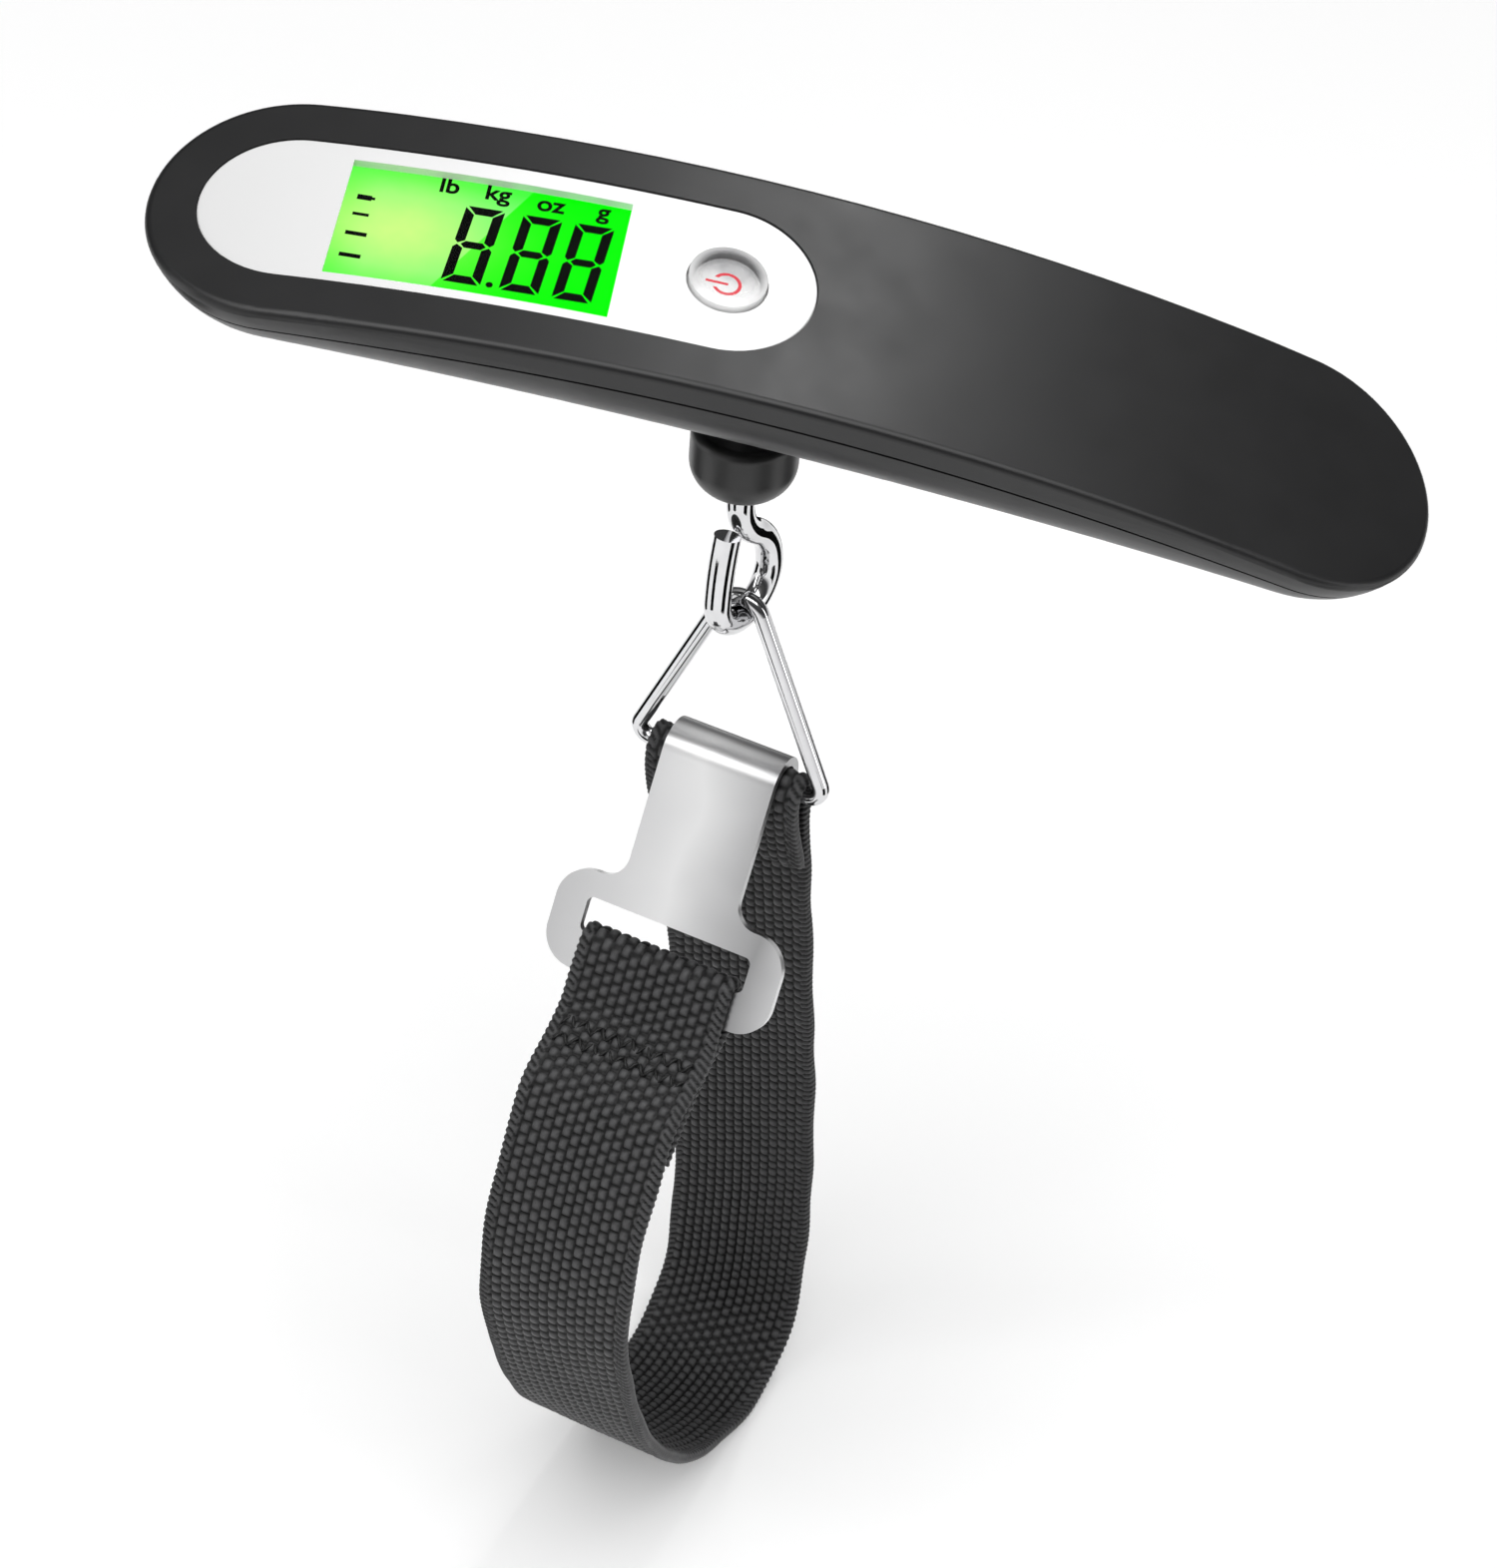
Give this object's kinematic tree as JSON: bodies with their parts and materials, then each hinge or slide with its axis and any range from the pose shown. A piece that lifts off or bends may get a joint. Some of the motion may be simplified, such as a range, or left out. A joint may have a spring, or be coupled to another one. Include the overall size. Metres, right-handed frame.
{
  "type": "digital luggage scale",
  "caption": "Handheld hanging scale: arched grip with lit display and button, chrome hook, triangular ring and a woven strap closed by a bent steel hook plate.",
  "frame": {"origin": "crest of the handle's arched top face, at mid length", "axes": "+Z plumb up; +X along the handle to its right end, the end away from the display; -Y towards the person reading the display. The handle is stored as it hangs, its right end 9.8 degrees low and its face raked 12 degrees to the reader"},
  "size_m": [0.1522, 0.0643, 0.2067],
  "materials": {
    "case_black": "satin moulded ABS",
    "panel_white": "gloss white inlay",
    "lens_clear": "clear window",
    "lcd_green": "green-lit reflective display",
    "light_guide": "milky acrylic light guide",
    "silicone_grey": "soft striped silicone",
    "board_green": "solder-masked board",
    "epoxy_black": "glossy epoxy blob",
    "switch_steel": "stamped plate",
    "button_clear": "clear domed cap",
    "button_red": "red moulded insert",
    "cell_aluminium": "milled",
    "gauge_film": "polyimide film",
    "cell_steel": "zinc plated",
    "screw_steel": "zinc plated",
    "tray_black": "moulded",
    "coin_steel": "stainless can",
    "contact_nickel": "nickel plated spring strip",
    "wire_insulation": "thin PVC",
    "wire_red": "thin PVC",
    "collar_black": "satin black",
    "washer_nylon": "nylon",
    "hook_chrome": "polished plating",
    "plate_steel": "satin stainless",
    "webbing_black": "coarse woven nylon webbing"
  },
  "bodies": {
    "housing": {"top_shell": "case_black", "bottom_shell": "case_black", "display_panel": "panel_white", "display_lens": "lens_clear", "lcd_glass": "lcd_green", "backlight": "light_guide", "elastomer_strips": "silicone_grey", "main_pcb": "board_green", "controller_blob": "epoxy_black", "tact_switch": "switch_steel", "load_cell": "cell_aluminium", "strain_gauges": "gauge_film", "cell_yoke": "cell_steel", "neck_pin": "cell_steel", "load_cell_screws": "screw_steel", "case_screws": "screw_steel", "cell_tray": "tray_black", "coin_cell": "coin_steel", "contact_plus": "contact_nickel", "contact_minus": "contact_nickel", "gauge_wires": "wire_insulation", "battery_wires": "wire_red"},
    "button": {"power_button": "button_clear", "button_insert": "button_red"},
    "battery_door": {"battery_cover": "case_black"},
    "neck": {"neck_eye": "cell_steel", "neck_collar": "collar_black", "thrust_washer": "washer_nylon"},
    "hook": {"hook": "hook_chrome", "hook_nut": "screw_steel"},
    "ring": {"triangle_ring": "hook_chrome"},
    "strap": {"webbing_back": "webbing_black"},
    "strap_plate": {"hook_plate": "plate_steel", "webbing_front": "webbing_black"}
  },
  "joints": [
    {"name": "neck_tilt", "type": "hinge", "parent": "housing", "child": "neck", "pos_m": [-0.00707, 0.00196, -0.00923], "axis": [0, 0.9781, 0.2079], "range_deg": [-10, 30]},
    {"name": "hook_swivel", "type": "hinge", "parent": "neck", "child": "hook", "pos_m": [-0.00707, 0.00196, -0.027], "axis": [0, 0, 1], "continuous": true},
    {"name": "ring_swing", "type": "hinge", "parent": "hook", "child": "ring", "pos_m": [-0.00604, 0.0039, -0.0506], "axis": [-0.3269, -0.9451, 0], "range_deg": [-35, 35]},
    {"name": "strap_swing", "type": "hinge", "parent": "ring", "child": "strap", "pos_m": [-0.00604, 0.0039, -0.0754], "axis": [0.9451, -0.3269, 0], "range_deg": [-24, 24]},
    {"name": "plate_unhook", "type": "slide", "parent": "strap", "child": "strap_plate", "axis": [0.1654, 0.4782, 0.8625], "range_m": [0, 0.007]},
    {"name": "button_press", "type": "slide", "parent": "housing", "child": "button", "axis": [-0.1362, 0.206, -0.969], "range_m": [0, 0.0006], "stiffness_N_per_m": 900},
    {"name": "battery_cover_pull", "type": "slide", "parent": "housing", "child": "battery_door", "axis": [-0.1702, 0.2049, -0.9639], "range_m": [0, 0.015]}
  ]
}
